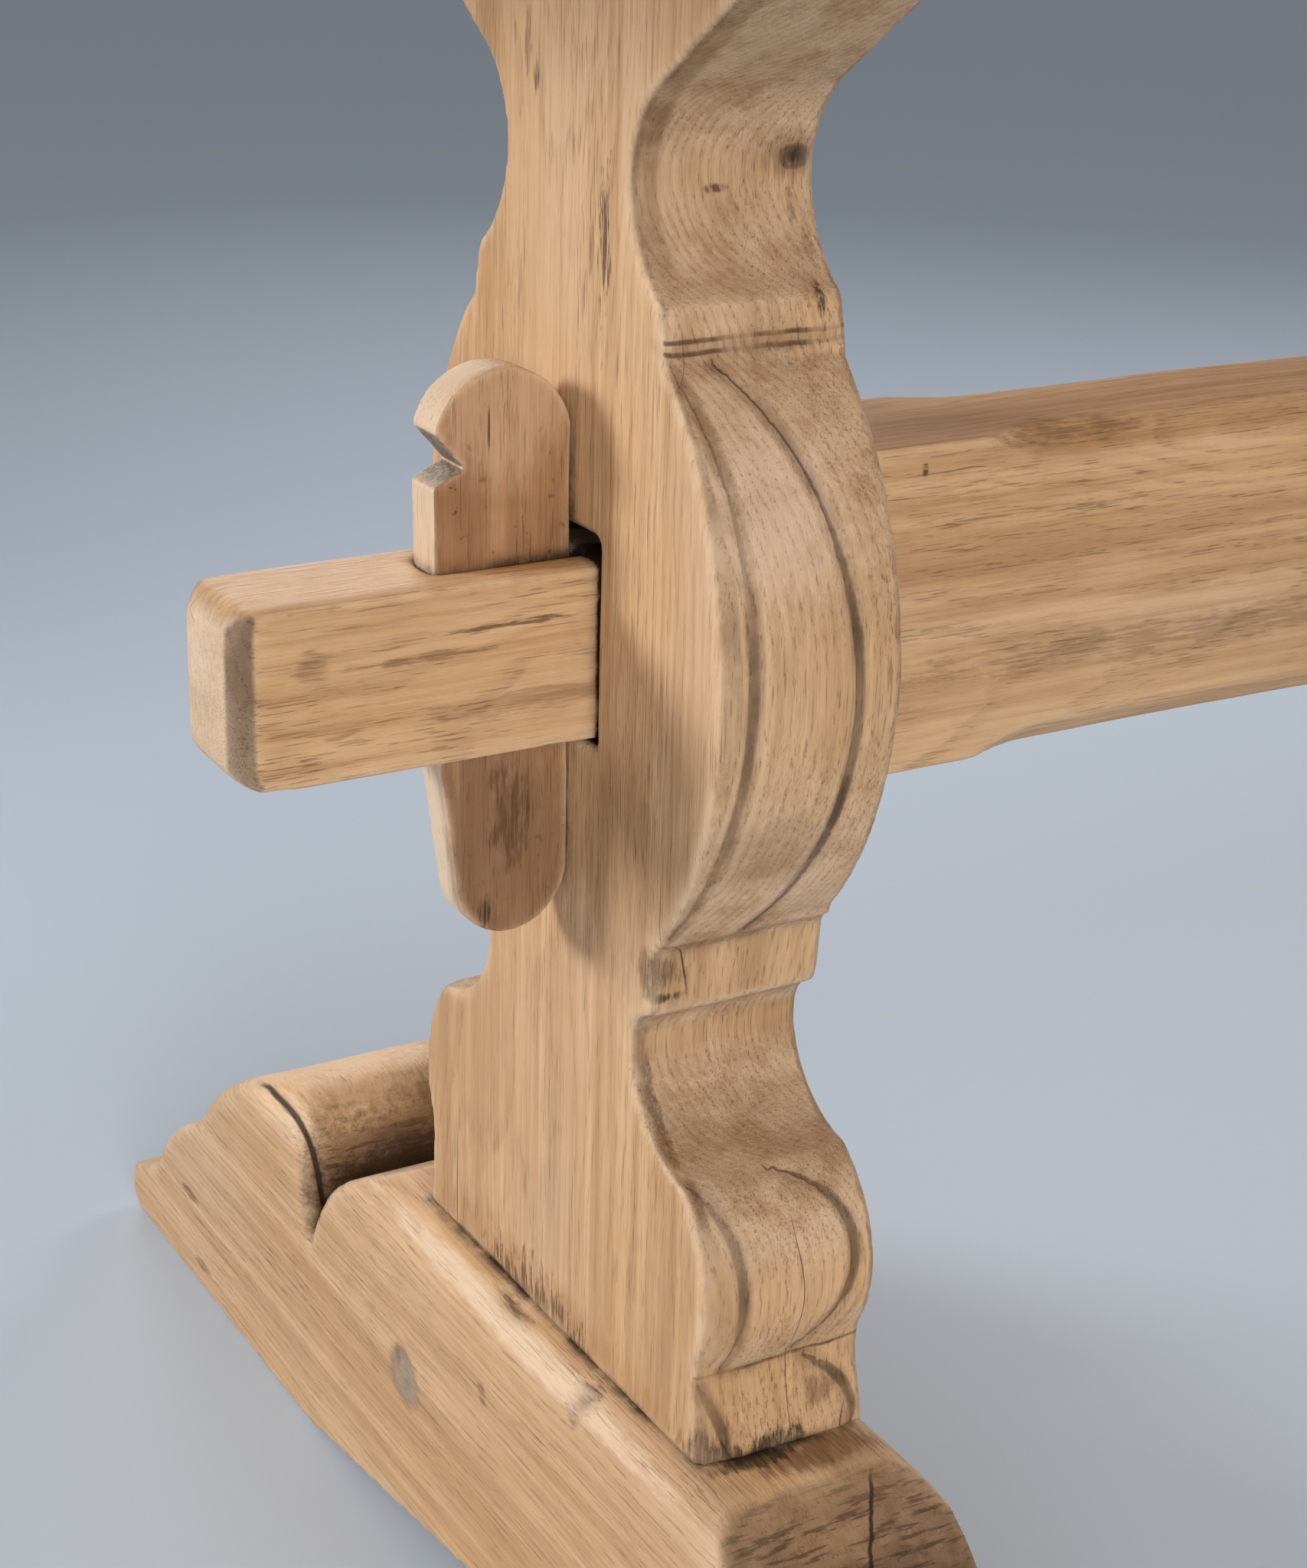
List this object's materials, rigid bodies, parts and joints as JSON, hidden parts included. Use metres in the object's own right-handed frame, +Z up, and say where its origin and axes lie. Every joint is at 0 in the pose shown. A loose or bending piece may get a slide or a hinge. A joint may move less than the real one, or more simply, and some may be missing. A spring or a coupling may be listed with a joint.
{
  "type": "trestle table",
  "caption": "Long oak trestle dining table with shaped posts on sledge feet, a stretcher held by removable wedges, and a plank top with breadboard ends that lifts off.",
  "frame": {"origin": "on the floor, under the middle of the table top", "axes": "+X along the table, +Y across it, +Z up"},
  "size_m": [2.1, 0.92, 0.77],
  "materials": {
    "trestle_oak": "bleached, sanded oak, waxed, with dark crevices, checks and stains",
    "wedge_oak": "darker sanded oak with rounded arrises, waxed",
    "top_oak": "bleached, sanded oak boards, waxed, lightly worn",
    "peg_oak": "riven oak pegs, cut flush"
  },
  "bodies": {
    "base": {"left_foot": "trestle_oak", "left_post": "trestle_oak", "left_head_bearer": "trestle_oak", "right_foot": "trestle_oak", "right_post": "trestle_oak", "right_head_bearer": "trestle_oak", "left_foot_pegs": "peg_oak", "left_head_pegs": "peg_oak", "left_top_dowels": "peg_oak", "right_foot_pegs": "peg_oak", "right_head_pegs": "peg_oak", "right_top_dowels": "peg_oak", "stretcher": "trestle_oak"},
    "left_key": {"left_wedge": "wedge_oak"},
    "right_key": {"right_wedge": "wedge_oak"},
    "top": {"top_board_1": "top_oak", "top_board_2": "top_oak", "top_board_3": "top_oak", "top_board_4": "top_oak", "top_board_5": "top_oak", "loose_tongue_1": "peg_oak", "loose_tongue_2": "peg_oak", "loose_tongue_3": "peg_oak", "loose_tongue_4": "peg_oak", "left_breadboard_end": "top_oak", "right_breadboard_end": "top_oak", "left_breadboard_pegs": "peg_oak", "right_breadboard_pegs": "peg_oak"}
  },
  "joints": [
    {"name": "left_wedge_slide", "type": "slide", "parent": "base", "child": "left_key", "axis": [0, 0, 1], "range_m": [0, 0.13]},
    {"name": "right_wedge_slide", "type": "slide", "parent": "base", "child": "right_key", "axis": [0, 0, 1], "range_m": [0, 0.13]},
    {"name": "top_lift", "type": "slide", "parent": "base", "child": "top", "axis": [0, 0, 1], "range_m": [0, 0.03]}
  ]
}
